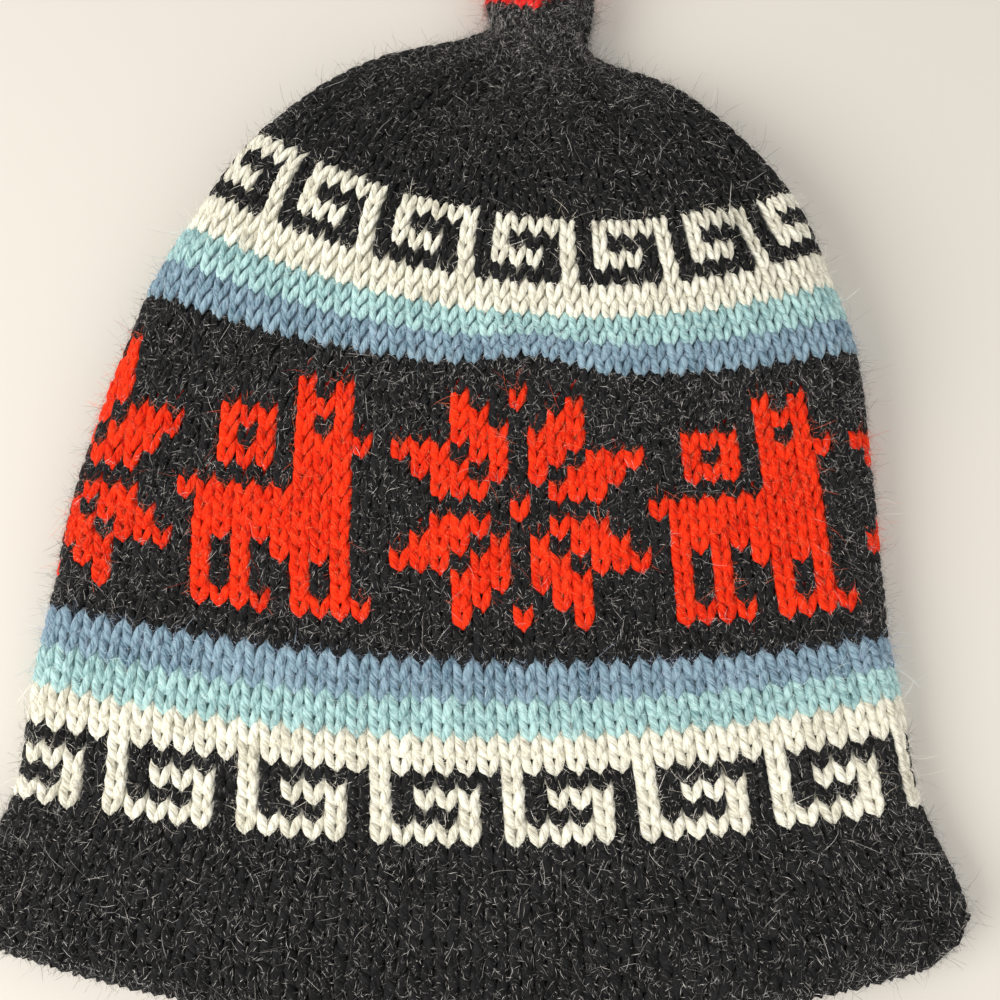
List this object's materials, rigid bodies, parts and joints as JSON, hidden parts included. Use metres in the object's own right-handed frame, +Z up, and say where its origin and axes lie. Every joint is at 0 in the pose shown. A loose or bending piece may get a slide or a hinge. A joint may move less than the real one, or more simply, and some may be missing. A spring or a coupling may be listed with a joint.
{
  "type": "chullo hat",
  "caption": "Knitted wool hat lying on its back, with a plain brim, key-pattern bands, stripes, a band of stars and llamas, a gathered crown and a short topknot.",
  "frame": {"origin": "on the surface that the hat lies on, under the middle of the whole hat", "axes": "+Y from the opening to the topknot, +X to the right as the shown side is seen, +Z up from the surface"},
  "size_m": [0.269, 0.3318, 0.0476],
  "materials": {
    "black_yarn": "soft charcoal wool knit with pale hairs",
    "cream_yarn": "cream and black two-colour wool knit",
    "aqua_yarn": "aqua and blue wool knit",
    "blue_yarn": "blue and aqua wool knit",
    "red_yarn": "red wool knit"
  },
  "bodies": {
    "root": {"brim": "black_yarn", "lower_key_band": "cream_yarn", "lower_stripes": "aqua_yarn", "figure_band": "black_yarn", "upper_stripes": "blue_yarn", "upper_key_band": "cream_yarn", "crown": "black_yarn", "topknot_stem": "black_yarn", "topknot_tip": "red_yarn"}
  },
  "joints": []
}
